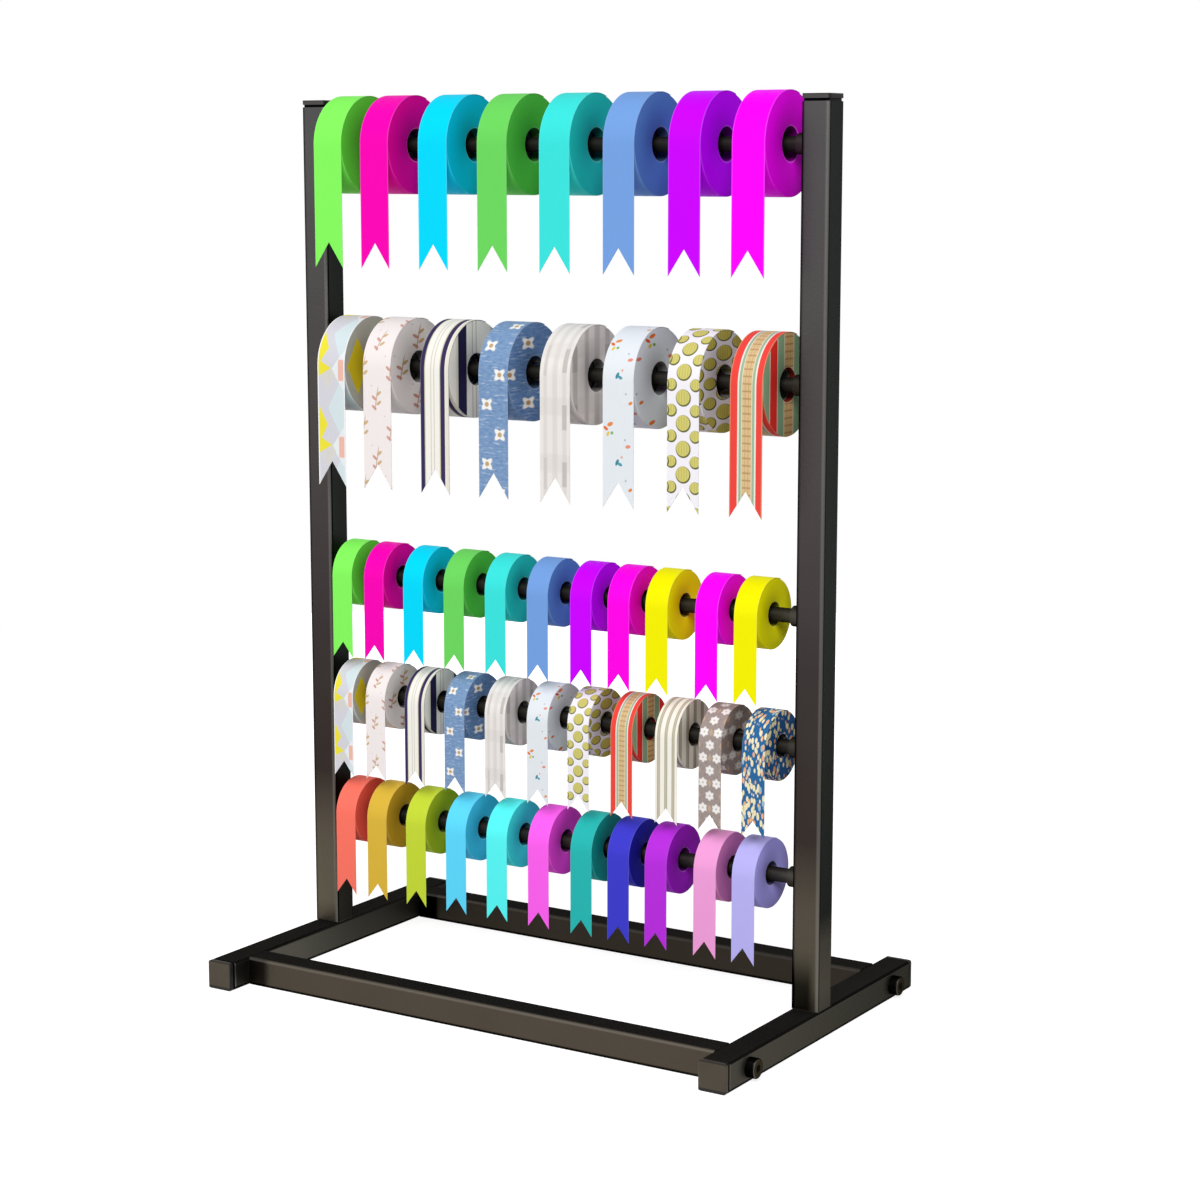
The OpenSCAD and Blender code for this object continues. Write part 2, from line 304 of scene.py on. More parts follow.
# Painted shade: faces turned up, the right faces of every plug but the front right one, and a line along
# the bottom go near black.
shaded_faces = 0.75 * plug_facing.other("Z").above(0.5, 0.2) + 0.95 * (1 - in_light) * plug_right
shaded_faces = shaded_faces + 0.85 * plug_up.below(CONTACT_SHADOW_LINE, 0.0006)
plug_tone = plug_plastic.colours(plug_clouds, [(0.3, "#433c31"), (0.7, "#494136")])
plug_tone = plug_tone.painted(on_top, linear("#454241")).painted(shaded_faces, linear("#080808"))
plug_plastic.set(Base_Color=plug_tone.painted(gap, linear("#050505")), Metallic=gap)
plug_plastic.set(Roughness=0.5 + 0.12 * grain)
plug_plastic.bumped(grain, 0.3, 0.0002)
dress(["tube_plugs"], plug_plastic)

# The frame bolts are cap screws of blackened steel with a cylinder head and a hexagon
# socket. The head's walls are painted near black as shade, with a painted highlight round
# the rim of its end. They hold the rails between the runners and the uprights on top of them.

BOLT_OUT = 0.1
BOLT_UP = 0.01
SOCKET_REACH = 0.0045

bolt_steel = Finish("blackened_bolt_steel", Metallic=1.0, Specular_Tint=DARK_EDGE_TINT)
bolt_place = bolt_steel.place()
bolt_clouds = bolt_steel.noise(bolt_place, 220, 3)
bolt_out = bolt_steel.node("SeparateXYZ", {}, {"Vector": bolt_place}, "Y")
bolt_up = bolt_out.other("Z") - BOLT_UP
bolt_rear = bolt_out.above(0, 0.01)
bolt_out = abs(bolt_out) - BOLT_OUT
bolt_facing = bolt_steel.facing()
bolt_front = 0 - bolt_facing.other("Y")
outside = ((bolt_out * bolt_out + bolt_up * bolt_up) ** 0.5).above(SOCKET_REACH, 0.0003)
# Painted shade on the head's walls, a painted highlight round the end's rim, and the rear bolts painted a
# little darker as shade.
bolt_wall_shade = outside * bolt_front.math("MAXIMUM", bolt_front, bolt_facing.other("Z")).above(0.6, 0.15)
bolt_rim_highlight = outside * abs(bolt_facing).below(0.96, 0.03) * bolt_front.above(0.2, 0.1)
bolt_tone = bolt_steel.colours(bolt_clouds, [(0.3, "#413c32"), (0.7, "#484238")])
bolt_tone = bolt_tone.painted(0.25 * bolt_rim_highlight, linear("#8c8a86"))
bolt_tone = bolt_tone.painted(0.2 * bolt_rear, BLACK)
bolt_steel.set(Base_Color=bolt_tone.painted(bolt_wall_shade, linear("#0c0c0b")))
bolt_steel.set(Roughness=0.38 + 0.16 * bolt_clouds)
dress(["frame_bolts"], bolt_steel)

# The rods are drawn steel bar in the same black, and each end sits in a turned
# socket riveted to the upright. The rods carry faint rub marks from the rolls.

rod_black = Finish("black_rod_paint", Metallic=1.0, Specular_Tint=DARK_EDGE_TINT)
rod_turns = rod_black.noise(rod_black.place((9, 1, 1)), 90, 3)
rod_patches = rod_black.noise(rod_black.place((1, 0.4, 0.4)), 60, 2)
rub = rod_turns.above(0.62, 0.08) * rod_patches.above(0.5, 0.1)
rod_tone = rod_black.colours(rod_patches, [(0.3, "#383631"), (0.7, "#43403b")])
rod_black.set(Base_Color=rod_tone.painted(0.5 * rub, linear("#5a564e")))
rod_black.set(Roughness=0.5 - 0.14 * rub)
rod_black.bumped(rod_turns, 0.12, 0.0002)
dress(["hanging_rods", "rod_sockets"], rod_black)

# The ribbon finishes: 21 plain satins and 11 prints. A finish reads the ribbon's own map,
# across and along in shares of the ribbon's width, so it suits wide and narrow rolls.
# Satin has fine streaks along the ribbon, cross threads and a firm, paler woven edge.
# The wound sides are painted darker as shade.

# Painted shade: the wound sides are darkened by a gamma, a share for all and a share per ribbon, and the
# bore inside the hole is painted dark.
SIDE_SHADE_GAMMA = 1.28
SIDE_SHADE = 0.04
WINDING_SHADE = 0.1
STREAK_SHADE = 0.06
BORE_SHADE = 0.75
EDGE_LIGHT = 0.05
MOUTH_HIGHLIGHT = 0.1
MOUTH_RADIUS = 0.505
BORE_RADIUS = 0.48
SELVAGE_FROM = 0.478
STREAK_SCALE = (46, 2.2)
WINDING_SCALE = 70
THREAD_RADIANS = 190


class Ribbon(Finish):
    """A satin ribbon: where a point lies on it, and how its colour, gloss and weave are made."""

    def __init__(self, name, side_shade=0.0):
        super().__init__(name, Specular_IOR_Level=0.06)
        self.side_shade = side_shade
        self.map = self.node("UVMap", {"uv_map": "ribbon"}, {})
        self.across = self.node("SeparateXYZ", {}, {"Vector": self.map}, "X")
        self.along = self.across.other("Y")
        turns = self.node("UVMap", {"uv_map": "turns"}, {})
        self.on_side = self.node("SeparateXYZ", {}, {"Vector": turns}, "X")
        self.radius = self.on_side.other("Y")

    def scaled(self, across, along, turn=0.0):
        """The ribbon's map with its own scale across and along, turned by an angle in degrees."""
        sockets = {"Vector": self.map, "Rotation": (0, 0, math.radians(turn)), "Scale": (across, along, 1)}
        return self.node("Mapping", {}, sockets)

    def off(self, middle):
        """Distance across from a line, the shorter way round where the print repeats."""
        return (self.across - middle + 0.5) % 1 - 0.5

    def stripe(self, middle, width, soft=0.012):
        return abs(self.off(middle)).below(width / 2, soft)

    def repeat(self, pitch, shift):
        """Distance along from the middle of the nearest repeat of a motif."""
        return (self.along + shift) % pitch - pitch / 2

    def bar(self, pitch, shift, length, soft=0.02):
        return abs(self.repeat(pitch, shift)).below(length / 2, soft)

    def spot(self, middle, pitch, shift):
        """Distance from the nearest point of a column of motifs."""
        out = self.off(middle)
        up = self.repeat(pitch, shift)
        return (out * out + up * up) ** 0.5

    def lozenge(self, middle, pitch, shift, half_width, half_length):
        slope = abs(self.off(middle)) / half_width + abs(self.repeat(pitch, shift)) / half_length
        return slope.below(1, 0.03)

    def wedge(self, out, pitch, shift, width, half_length):
        """Triangles that stand on an edge of the ribbon, out being the distance from that edge."""
        return (out / width + abs(self.repeat(pitch, shift)) / half_length).below(1, 0.03)

    def leaf(self, middle, pitch, shift, turn, length, width):
        """A slanting leaf at each point of a column of motifs."""
        out = self.off(middle)
        up = self.repeat(pitch, shift)
        lean = math.radians(turn)
        tip = out * math.cos(lean) + up * math.sin(lean)
        side = up * math.cos(lean) - out * math.sin(lean)
        return (tip * tip / length**2 + side * side / width**2).below(1, 0.35)

    def layers(self, base, *coats):
        """A base colour with coats laid over it in turn, each a mask and a colour."""
        colour = linear(base) if isinstance(base, str) else base
        for mask, coat in coats:
            coat = linear(coat) if isinstance(coat, str) else coat
            colour = self.node("Mix", {"data_type": "RGBA"}, {0: mask, 6: colour, 7: coat}, 2)
        return colour

    def woven(self, base, *coats):
        """Lays a print, darkens it on the wound sides as painted shade, and adds streaks, winding lines,
        paler edges, a painted highlight round the hole's mouth and painted shade in the bore.
        """
        flat = 1 - self.on_side
        streaks = self.noise(self.scaled(*STREAK_SCALE), 1, 2)
        threads = self.math("SINE", self.along * THREAD_RADIANS)
        edge = abs(self.across - 0.5).above(SELVAGE_FROM, 0.01) * flat
        mouth = self.radius.below(MOUTH_RADIUS, 0.01) * self.on_side
        bore = self.radius.below(BORE_RADIUS, 0.004) * flat
        winding = {"W": self.radius, "Scale": WINDING_SCALE, "Detail": 3}
        lines = self.node("TexNoise", {"noise_dimensions": "1D"}, winding)
        face = self.layers(base, *coats)
        shaded_sides = self.node("Gamma", {}, {"Color": face, "Gamma": SIDE_SHADE_GAMMA})
        shade = (SIDE_SHADE + self.side_shade + WINDING_SHADE * lines) * self.on_side
        shade = STREAK_SHADE * streaks * flat + shade
        # A paler woven edge, and a painted highlight round the mouth of the hole on the wound side.
        edge_and_highlight = EDGE_LIGHT * edge + MOUTH_HIGHLIGHT * mouth
        depth = BORE_SHADE * bore
        coats = ((self.on_side, shaded_sides), (shade, "#000000"), (edge_and_highlight, "#ffffff"), (depth, "#000000"))
        self.set(Base_Color=self.layers(face, *coats))
        self.set(Roughness=0.46 + 0.16 * streaks + 0.1 * self.on_side)
        weave = 0.7 * streaks + 0.1 * threads + 0.6 * edge
        self.bumped(weave * flat + 0.8 * lines * self.on_side, 0.16, 0.0003)


# Each plain satin: its colour, and the extra painted shade on its wound sides.
PLAIN_RIBBONS = {
    "lime_ribbon": ("#85f860", 0.26),
    "hot_pink_ribbon": ("#fa00b5", 0.09),
    "cyan_ribbon": ("#00dafc", 0.11),
    "green_ribbon": ("#6cd65f", 0.15),
    "turquoise_ribbon": ("#3ce3dd", 0.18),
    "cornflower_ribbon": ("#74a0e0", 0.14),
    "violet_ribbon": ("#cc00ff", 0.0),
    "magenta_ribbon": ("#ff00ff", 0.0),
    "rose_ribbon": ("#ff00e8", 0.05),
    "yellow_ribbon": ("#f5f000", -0.04),
    "coral_ribbon": ("#ff7765", 0.15),
    "mustard_ribbon": ("#deb73f", 0.2),
    "leaf_ribbon": ("#c7db3a", 0.24),
    "sky_ribbon": ("#5fdbff", 0.13),
    "aqua_ribbon": ("#5af9f8", 0.14),
    "orchid_ribbon": ("#ff63f1", 0.13),
    "teal_ribbon": ("#2ab8b4", 0.28),
    "royal_blue_ribbon": ("#3f3ecd", 0.4),
    "purple_ribbon": ("#b930df", 0.15),
    "pink_ribbon": ("#f2a0db", 0.25),
    "lavender_ribbon": ("#bab4f5", -0.04),
}
ribbons = {}
for name, (code, side_shade) in PLAIN_RIBBONS.items():
    ribbons[name] = Ribbon(name, side_shade)
    ribbons[name].woven(code)

# Pastel triangles, with yellow ones on one edge and salmon blocks along the other. The wound
# side is greyer and shows one large mustard kite.
patchwork = ribbons["patchwork_ribbon"] = Ribbon("patchwork_ribbon", 0.12)
PATCH = 2.27
patch_flat = 1 - patchwork.on_side
patch_left = patchwork.across % 1
patch_right = 1 - patch_left
patchwork.woven(
    "#d6d5dd",
    (patchwork.wedge(patch_right, PATCH, 0.1, 0.62, 1.1), "#d6e4e8"),
    (patchwork.wedge(patch_right, PATCH, PATCH / 2 + 0.1, 0.5, 0.65), "#e9eef0"),
    (0.8 * patchwork.lozenge(0.36, PATCH, PATCH / 2 + 0.25, 0.3, 0.45), "#dad7cf"),
    (0.75 * patchwork.on_side, "#c3beac"),
    (patch_flat * patchwork.wedge(patch_left, PATCH, PATCH / 2 - 0.55, 0.36, 0.62), "#efe341"),
    (patch_flat * patchwork.wedge(patch_left, PATCH, PATCH / 2 + 0.05, 0.5, 0.26), "#efe341"),
    (patchwork.on_side * patchwork.lozenge(0.04, PATCH, PATCH / 2, 0.3, 0.85), "#ecd83a"),
    (patch_flat * patchwork.stripe(0.86, 0.2) * patchwork.bar(PATCH, PATCH / 2 + 0.1, 0.62), "#efbcab"),
    (patch_flat * patchwork.stripe(0.0, 0.07), "#f8f8fa"),
)

# Small leafy sprigs in a middle column and along the edges, with specks between
sprig = ribbons["sprig_ribbon"] = Ribbon("sprig_ribbon", 0.12)
SPRIG = 1.75
SPRIG_LEAVES = ((-1, 0.26, "#c98a72"), (1, 0.12, "#c7a25c"), (-1, -0.02, "#c98a72"), (1, -0.16, "#c7a25c"))
sprig_coats = []
for middle, shift in ((0.48, 0.0), (0.0, SPRIG / 2)):
    sprig_coats.append((0.6 * sprig.leaf(middle, SPRIG, shift, 80, 0.38, 0.022), "#b98564"))
    for side, down, tone in SPRIG_LEAVES:
        leaf = sprig.leaf(middle + 0.085 * side, SPRIG, shift + down, 90 - 52 * side, 0.1, 0.045)
        sprig_coats.append((0.8 * leaf, tone))
    sprig_coats.append((0.6 * sprig.spot(middle + 0.3, SPRIG, shift + 0.5).below(0.02, 0.012), "#b9988a"))
sprig.woven("#f3ebea", *sprig_coats)

# Two navy stripes, a cream margin outside one of them, and fine beige lines
navy_edge = ribbons["navy_edge_ribbon"] = Ribbon("navy_edge_ribbon")
navy_flat = 1 - navy_edge.on_side
navy_edge.woven(
    "#f5f2ea",
    (navy_flat * navy_edge.stripe(0.155, 0.035), "#d3c9a6"),
    (navy_flat * navy_edge.stripe(0.685, 0.035), "#d3c9a6"),
    (0.8 * navy_edge.stripe(0.37, 0.03), "#c9c4b2"),
    (0.8 * navy_edge.stripe(0.48, 0.03), "#c9c4b2"),
    (0.5 * navy_edge.stripe(0.94, 0.12, 0.03), "#ddd3bb"),
    (navy_edge.stripe(0.07, 0.145 + 0.1 * navy_edge.on_side), "#352f58"),
    (navy_flat * navy_edge.stripe(0.78, 0.155), "#3a3158"),
)

# Denim ground with pale cross dashes and white four-petalled flowers with a tan heart
denim = ribbons["denim_ribbon"] = Ribbon("denim_ribbon")
DENIM = 1.7
denim_cloud = denim.noise(denim.scaled(6, 15), 1, 4)
denim_dash = denim.noise(denim.scaled(2.6, 15), 1, 2).above(0.63, 0.05)
petals = []
hearts = []
for middle, shift in ((0.28, 0.0), (0.72, DENIM / 2)):
    petals += [denim.leaf(middle, DENIM, shift, turn, 0.22, 0.085) for turn in (42, 138)]
    hearts.append(denim.spot(middle, DENIM, shift).below(0.07, 0.02))
denim.woven(
    denim.colours(denim_cloud, [(0.3, "#6a8ab5"), (0.7, "#89a6ca")]),
    (0.5 * denim_dash, "#d3deec"),
    *[(mask, "#f6f3ee") for mask in petals],
    *[(mask, "#c2a47c") for mask in hearts],
)

# Off-white with soft grey bars and, here and there, a darker block of the check
plaid = ribbons["plaid_ribbon"] = Ribbon("plaid_ribbon")
plaid_bars = plaid.stripe(0.18, 0.12, 0.04) + plaid.stripe(0.5, 0.16, 0.04) + plaid.stripe(0.82, 0.14, 0.03)
plaid.woven(
    "#ebe6e2",
    ((0.4 + 0.4 * plaid.on_side) * plaid_bars, "#cbc5c0"),
    (0.3 * plaid.bar(1.6, 0.0, 0.5, 0.06), "#d2ccc8"),
    (0.7 * plaid.stripe(0.82, 0.15, 0.02) * plaid.bar(1.6, 0.3, 0.7), "#b9b3ae"),
    (0.5 * plaid.stripe(0.18, 0.1, 0.02) * plaid.bar(3.2, 1.1, 0.9), "#c3bdb8"),
)

# Clusters of small bits on a cold white: warm ones down one side, teal ones in the middle
confetti = ribbons["confetti_ribbon"] = Ribbon("confetti_ribbon", 0.1)
BITS = 2.4
confetti.woven(
    "#e4e9ee",
    (confetti.leaf(0.24, BITS, 0.0, 25, 0.1, 0.055), "#e58b4a"),
    (confetti.leaf(0.1, BITS, 0.12, -35, 0.085, 0.045), "#e2703f"),
    (confetti.leaf(0.17, BITS, 0.27, 60, 0.07, 0.045), "#e3c650"),
    (confetti.spot(0.3, BITS, 0.24).below(0.045, 0.015), "#7fae66"),
    (confetti.leaf(0.47, BITS, 1.05, 65, 0.1, 0.045), "#3d8797"),
    (confetti.leaf(0.56, BITS, 1.1, -25, 0.08, 0.045), "#4f9fae"),
    (confetti.spot(0.62, BITS, 0.9).below(0.035, 0.015), "#e9a592"),
    (confetti.leaf(0.82, BITS, 0.6, 10, 0.085, 0.05), "#e6937a"),
    (confetti.leaf(0.9, BITS, 1.8, 30, 0.07, 0.045), "#e58b4a"),
    (confetti.spot(0.72, BITS, 0.42).below(0.03, 0.015), "#aebac8"),
    (confetti.spot(0.75, BITS, 1.55).below(0.03, 0.015), "#aebac8"),
)

# Yellow-green dots with a dark outline: large ones in the middle, small ones beside them
dotted = ribbons["dotted_ribbon"] = Ribbon("dotted_ribbon", 0.22)
DOT = 0.7
dotted.across = dotted.across * (1 + 0.1 * dotted.on_side)
dotted.along = dotted.along * (1 + 0.3 * dotted.on_side)
dot_beside = 0.12 * (1 - dotted.on_side)
dot_lines = abs((dotted.across * 12) % 1 - 0.5).below(0.12, 0.06)
dot_coats = []
dot_columns = ((0.5, 0.0, 0.21), (dot_beside, DOT / 2, 0.15), (1 - dot_beside, DOT / 2, 0.15))
for middle, shift, size in dot_columns:
    size = size + 0.05 * dotted.on_side
    rim = dotted.spot(middle + 0.012, DOT, shift + 0.02)
    dot = dotted.spot(middle, DOT, shift)
    dot_coats += [
        (rim.below(size + 0.026, 0.012), "#5f6138"),
        (dot.below(size, 0.014), "#d4cb72"),
        (0.45 * dot_lines * dot.below(size - 0.03, 0.02), "#9a9652"),
    ]
dotted.woven("#f3f0f6", *dot_coats)

# Red borders, white and sage lines, and a tan middle with fine brown cross lines
red_edge = ribbons["red_edge_ribbon"] = Ribbon("red_edge_ribbon")
red_flat = 1 - red_edge.on_side
red_edge.woven(
    "#ee4840",
    (red_edge.stripe(0.52, 0.57 + 0.2 * red_edge.on_side), "#f1ede2"),
    (red_edge.stripe(0.52, 0.48 + 0.25 * red_edge.on_side), "#9db898"),
    (red_edge.stripe(0.52, 0.33), "#ece3cd"),
    (red_edge.stripe(0.52, 0.29), "#dcbd8b"),
    (0.7 * red_edge.stripe(0.52, 0.27) * red_edge.bar(0.2, 0.0, 0.045, 0.015), "#ab8259"),
    (0.6 * red_edge.stripe(0.47, 0.02) + 0.6 * red_edge.stripe(0.57, 0.02), "#b58f63"),
    (0.7 * red_flat * red_edge.stripe(0.0, 0.05), "#d39a68"),
)

# Cream with three pairs of grey-beige lines
striped = ribbons["striped_ribbon"] = Ribbon("striped_ribbon", 0.13)
stripe_coats = []
for middle in (0.17, 0.5, 0.83):
    stripe_coats.append((striped.stripe(middle, 0.13, 0.02), "#b4ab95"))
    stripe_coats.append((0.6 * striped.stripe(middle, 0.03, 0.01), "#e3dcc9"))
striped.woven("#f4f1e5", *stripe_coats)

# Taupe with white six-petalled blossoms, two and one in turn, and small tan lozenges between
blossom = ribbons["blossom_ribbon"] = Ribbon("blossom_ribbon", 0.06)
BLOSSOM = 1.0
blossom_bright = 0.95 - 0.5 * blossom.on_side
blossom_cloud = blossom.noise(blossom.scaled(9, 9), 1, 2).above(0.56, 0.06)
blossom_coats = [
    (0.35 * blossom_cloud, "#83746e"),
    (blossom.lozenge(0.5, BLOSSOM, 0.0, 0.1, 0.17), "#bca48f"),
    (blossom.lozenge(0.0, BLOSSOM, BLOSSOM / 2, 0.1, 0.17), "#bca48f"),
]
for middle, shift in ((0.2, 0.0), (0.8, 0.0), (0.5, BLOSSOM / 2)):
    for turn in (30, 90, 150):
        bloom = blossom.leaf(middle, BLOSSOM, shift, turn, 0.2, 0.09)
        blossom_coats.append((blossom_bright * bloom, "#f1eeeb"))
    heart = blossom.spot(middle, BLOSSOM, shift).below(0.045, 0.02)
    blossom_coats.append((0.6 * heart, "#b09c8c"))
blossom.woven("#a2948f", *blossom_coats)

# Blue, strewn closely with cream and orange petals that lean two ways
petal = ribbons["petal_ribbon"] = Ribbon("petal_ribbon", -0.04)
petal_tones = [(0.0, "#f2e6bd"), (0.4, "#efb583"), (0.62, "#f2e6bd"), (0.9, "#9dbcd2")]
petal_coats = []
for turn, across, along in ((35, 6.6, 3.0), (-40, 7.0, 3.3)):
    strewn = {"Vector": petal.scaled(across, along, turn), "Scale": 1.0, "Randomness": 0.6}
    petal_field = petal.node("TexVoronoi", {}, strewn)
    lot = petal.node("SeparateColor", {}, {"Color": petal_field.other("Color")}, "Green")
    petal_coats.append((petal_field.below(0.4, 0.05), petal.colours(lot, petal_tones, "CONSTANT")))
petal.woven("#2c689c", *petal_coats)

# The rolls: satin ribbon wound edge to edge into a flat-sided reel with an open hole,
# and in the hole a moulded core ring that runs on the rod. The wound edges are a
# little rounded at the rim and round the hole.

WOUND_SLACK = 0.0004
RIM_ROUND = 0.0004
HOLE_BEVEL = 0.001
TURN_STEPS = 96
CORE_BORE = 0.00505
CORE_GAP = 0.0001
SIDE_SPREAD = 1.7
SEAM_TURN = math.pi / 4
SHARP_TURN = math.radians(35)
NEAR = 1e-5
ROLL_KINDS = {
    "wide": {"hole": 0.0108, "core": 0.004},
    "narrow": {"hole": 0.0077, "core": 0.003},
}
WIDE_OVER = 0.02

core_plastic = Finish("core_ring_plastic", Specular_IOR_Level=0.3)
core_grain = core_plastic.noise(core_plastic.place(), 900, 2)
core_plastic.set(Base_Color=core_plastic.colours(core_grain, [(0.3, "#141414"), (0.7, "#1c1b1b")]))
core_plastic.set(Roughness=0.5 + 0.15 * core_grain)


def spun_ring(bm, middle, half, inner, outer):
    """Spins a rectangle round the rod and returns the faces of the ring."""
    before = set(bm.faces)
    corners = [(-half, inner), (half, inner), (half, outer), (-half, outer)]
    verts = [bm.verts.new(middle + Vector((x, 0, r))) for x, r in corners]
    edges = [bm.edges.new((verts[i - 1], verts[i])) for i in range(4)]
    bmesh.ops.spin(
        bm,
        geom=verts + edges,
        cent=middle,
        axis=(1, 0, 0),
        angle=2 * math.pi,
        steps=TURN_STEPS,
        use_merge=True,
    )
    return [f for f in bm.faces if f not in before]


def rim_edges(faces, middle, radius):
    """The circular edges of a ring that lie at a radius."""
    found = set()
    for edge in {e for f in faces for e in f.edges}:
        ends = [v.co - middle for v in edge.verts]
        same_x = abs(ends[0].x - ends[1].x) < NEAR
        if same_x and all(abs(math.hypot(p.y, p.z) - radius) < NEAR for p in ends):
            found.add(edge)
    return list(found)


def map_turns(bm, middle, width, radius):
    """Maps a roll: across and along on its outer face, with the seam under the tail, and straight
    from the side on its wound edges."""
    ribbon_map = bm.loops.layers.uv.new("ribbon")
    turn_map = bm.loops.layers.uv.new("turns")
    for face in bm.faces:
        on_side = abs(face.normal.x) > 0.9
        heart = face.calc_center_median() - middle
        heart_turn = math.atan2(heart.z, -heart.y)
        heart_turn += 2 * math.pi if heart_turn < SEAM_TURN else 0.0
        for loop in face.loops:
            point = loop.vert.co - middle
            across = point.x / width + 0.5
            turn = math.atan2(point.z, -point.y)
            turn += 2 * math.pi * round((heart_turn - turn) / (2 * math.pi))
            along = radius * turn / width
            if on_side:
                across = point.y / width / SIDE_SPREAD + 0.5
                along = point.z / width
            loop[ribbon_map].uv = (across, along)
            loop[turn_map].uv = (1.0 if on_side else 0.0, math.hypot(point.y, point.z) / width)


def placed(bm, name, finishes, body):
    """Turns a bmesh into a piece that rides on a body."""
    mesh = bpy.data.meshes.new(name)
    bm.to_mesh(mesh)
    bm.free()
    mesh.shade_smooth()
    mesh.set_sharp_from_angle(angle=SHARP_TURN)
    for finish in finishes:
        mesh.materials.append(finish.material)
    piece = bpy.data.objects.new(name, mesh)
    bpy.context.scene.collection.objects.link(piece)
    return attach(piece, body)


slot_of = {part["node"]: part["material_slot"] for part in frame["record"]["subparts"]}
roll_nodes = sorted(name for name in nodes if "_roll_" in name)
rolls = {}
for name in roll_nodes:
    low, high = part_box(name)
    middle = (low + high) / 2
    width = high.x - low.x
    radius = (high.z - low.z) / 2
    kind = ROLL_KINDS["wide" if width > WIDE_OVER else "narrow"]
    bm = bmesh.new()
    spun_ring(bm, middle, width / 2, kind["hole"], radius + WOUND_SLACK)
    for reach, offset in ((radius + WOUND_SLACK, RIM_ROUND), (kind["hole"], HOLE_BEVEL)):
        rims = rim_edges(bm.faces, middle, reach)
        bmesh.ops.bevel(bm, geom=rims, offset=offset, affect="EDGES", segments=2, profile=0.5, material=-1)
    for face in spun_ring(bm, middle, kind["core"], CORE_BORE, kind["hole"] - CORE_GAP):
        face.material_index = 1
    bmesh.ops.recalc_face_normals(bm, faces=bm.faces)
    map_turns(bm, middle, width, radius)
    finishes = [ribbons[slot_of[name]], core_plastic]
    rolls[name] = placed(bm, name.replace("roll", "wound"), finishes, name.replace("roll", "reel"))
    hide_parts(name)

# The tails: the loose end of each ribbon comes over the top of its roll and hangs flat
# in front of it. The end is cut with shears to a swallow-tail, so that it doesn't fray.

TAIL_LEAD = math.radians(20)
TAIL_THICK = 0.0003
TAIL_LIFT = 0.0008
ARC_STEPS = 28
DROP_STEPS = 8
TAIL_ENDS = {
    "wide": {"drop": 0.0826, "notch": 0.0172},
    "narrow": {"drop": 0.057, "notch": 0.0108},
}


def hanging_strip(middle, half, radius, drop, notch):
    """A strip of ribbon: an arc over the roll, a straight fall and a notched end."""
    bm = bmesh.new()
    start = middle + Vector((0, radius * math.sin(TAIL_LEAD), radius * math.cos(TAIL_LEAD)))
    row = [bm.verts.new(start + Vector((half * share, 0, 0))) for share in (-1, -0.5, 0, 0.5, 1)]
    last = [bm.edges.new(pair) for pair in zip(row, row[1:])]
    over = bmesh.ops.spin(
        bm,
        geom=row + last,
        cent=middle,
        axis=(1, 0, 0),
        angle=TAIL_LEAD + math.pi / 2,
        steps=ARC_STEPS,
    )
    last = [g for g in over["geom_last"] if isinstance(g, bmesh.types.BMEdge)]
    above_notch = drop - notch - half / 4
    falls = [above_notch / DROP_STEPS] * DROP_STEPS + [drop - above_notch]
    for fall in falls:
        grown = bmesh.ops.extrude_edge_only(bm, edges=last)["geom"]
        last = [g for g in grown if isinstance(g, bmesh.types.BMEdge)]
        verts = [g for g in grown if isinstance(g, bmesh.types.BMVert)]
        bmesh.ops.translate(bm, verts=verts, vec=(0, 0, -fall))
    for vert in verts:
        vert.co.z += notch * (1 - abs(vert.co.x - middle.x) / half)
    return bm


for name, roll in rolls.items():
    low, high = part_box(name)
    middle = (low + high) / 2
    half = (high.x - low.x) / 2
    radius = (high.z - low.z) / 2 + TAIL_LIFT
    cut = TAIL_ENDS["wide" if 2 * half > WIDE_OVER else "narrow"]
    bm = hanging_strip(middle, half, radius, cut["drop"], cut["notch"])
    bmesh.ops.recalc_face_normals(bm, faces=bm.faces)
    bmesh.ops.solidify(bm, geom=bm.faces[:], thickness=TAIL_THICK)
    ribbon_map = bm.loops.layers.uv.new("ribbon")
    turn_map = bm.loops.layers.uv.new("turns")
    for face in bm.faces:
        for loop in face.loops:
            point = loop.vert.co - middle
            along = radius * math.atan2(point.z, -point.y) if point.z > 0 else point.z
            loop[ribbon_map].uv = (point.x / (2 * half) + 0.5, along / (2 * half))
            loop[turn_map].uv = (0.0, radius / (2 * half))
    tail = placed(bm, name.replace("roll", "tail"), [ribbons[slot_of[name]]], "frame")
    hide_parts("ribbon_tails")

# The floor is a plain white sheet of paper, lit as the rack is, that runs out into
# the white of the studio behind it. It keeps the rack's shadow.

FLOOR_RADIUS = 1.6
FLOOR_GLOW = 0.84
FLOOR_FADE = 0.75

floor_shape = bmesh.new()
bmesh.ops.create_circle(floor_shape, cap_ends=True, segments=96, radius=FLOOR_RADIUS)
floor_mesh = bpy.data.meshes.new("floor")
floor_shape.to_mesh(floor_mesh)
floor_shape.free()
floor = bpy.data.objects.new("floor", floor_mesh)
bpy.context.scene.collection.objects.link(floor)


def seen(tree):
    """1 for rays that show the background: those of the camera, and of gloss and glass."""
    ray = Socket(tree).node("LightPath", {}, {}, "Is Camera Ray")
    shown = ray.math("MAXIMUM", ray.other("Is Glossy Ray"), ray.other("Is Transmission Ray"))
    return ray.math("MAXIMUM", ray, shown)


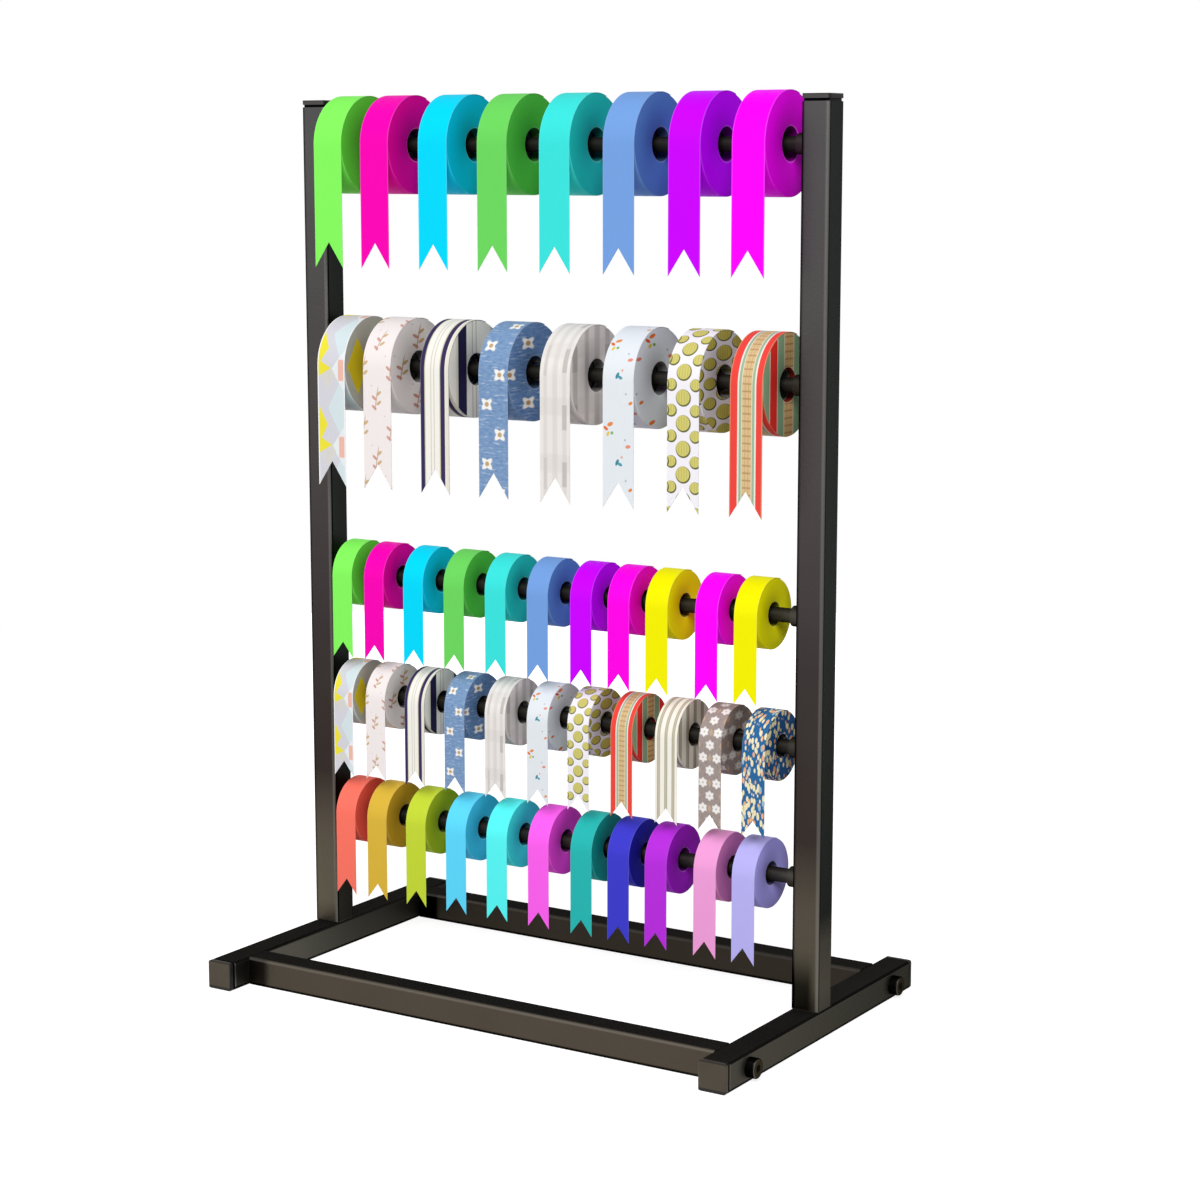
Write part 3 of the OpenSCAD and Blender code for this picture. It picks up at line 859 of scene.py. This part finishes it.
paper = Finish("floor_paper", Base_Color=linear("#bcbcbc"), Roughness=0.9, Specular_IOR_Level=0.0)
from_middle = paper.node("VectorMath", {"operation": "LENGTH"}, {0: paper.place()}, "Value")
glow = (FLOOR_GLOW + (1 - FLOOR_GLOW) * from_middle.above(FLOOR_FADE, 0.5)) * seen(paper.tree)
paper.set(Emission_Strength=1.0, Emission_Color=glow)
floor_mesh.materials.append(paper.material)

# The light: one large softbox on the camera's side, well above the rack, a weaker one at
# the other side, a low one behind the rack that the paint doesn't mirror, and a dim even
# room. The room looks white where it is seen.

ROOM_LIGHT = 0.14
AIM = Vector((0, 0, 0.3))

room = bpy.data.worlds.new("white_room")
room.use_nodes = True
bpy.context.scene.world = room
room_tree = room.node_tree
room_seen = seen(room_tree)
room_glow = ROOM_LIGHT + (1 - ROOM_LIGHT) * room_seen
room_back = room_tree.nodes["Background"]
room_back.inputs["Color"].default_value = (1, 1, 1, 1)
room_tree.links.new(room_glow.link, room_back.inputs["Strength"])


def softbox(name, azimuth, elevation, distance, width, height, power):
    """A rectangular lamp aimed at the rack, its azimuth counted from the front to the right."""
    around = math.radians(azimuth)
    up = math.radians(elevation)
    toward = Vector((math.sin(around) * math.cos(up), -math.cos(around) * math.cos(up), math.sin(up)))
    lamp = bpy.data.lights.new(name, "AREA")
    lamp.shape = "RECTANGLE"
    lamp.size = width
    lamp.size_y = height
    lamp.energy = power
    stand = bpy.data.objects.new(name, lamp)
    stand.location = AIM + toward * distance
    stand.rotation_euler = toward.to_track_quat("Z", "Y").to_euler()
    bpy.context.scene.collection.objects.link(stand)
    return stand


softbox("main_softbox", azimuth=24, elevation=37, distance=6.0, width=3.6, height=2.7, power=365)
softbox("side_softbox", azimuth=-32, elevation=10, distance=3.0, width=1.2, height=1.0, power=9)
back_lamp = softbox("back_softbox", azimuth=222, elevation=3, distance=3.0, width=1.6, height=0.5, power=58)
back_lamp.visible_glossy = False

# The camera stands off the rack's right front corner, about as high as its top rod, and
# looks a little down with a long lens, as in the photograph.

CAMERA_PLACE = (0.9845, -1.5059, 0.5661)
CAMERA_DOWN = 9.28
CAMERA_HEADING = 32.29
CAMERA_LENS = 80.81

lens = bpy.data.cameras.new("camera")
lens.lens = CAMERA_LENS
lens.sensor_width = 36.0
camera = bpy.data.objects.new("camera", lens)
camera.location = CAMERA_PLACE
camera.rotation_euler = (math.radians(90 - CAMERA_DOWN), 0, math.radians(CAMERA_HEADING))
bpy.context.scene.collection.objects.link(camera)
bpy.context.scene.camera = camera
bpy.context.scene.view_settings.view_transform = "Standard"
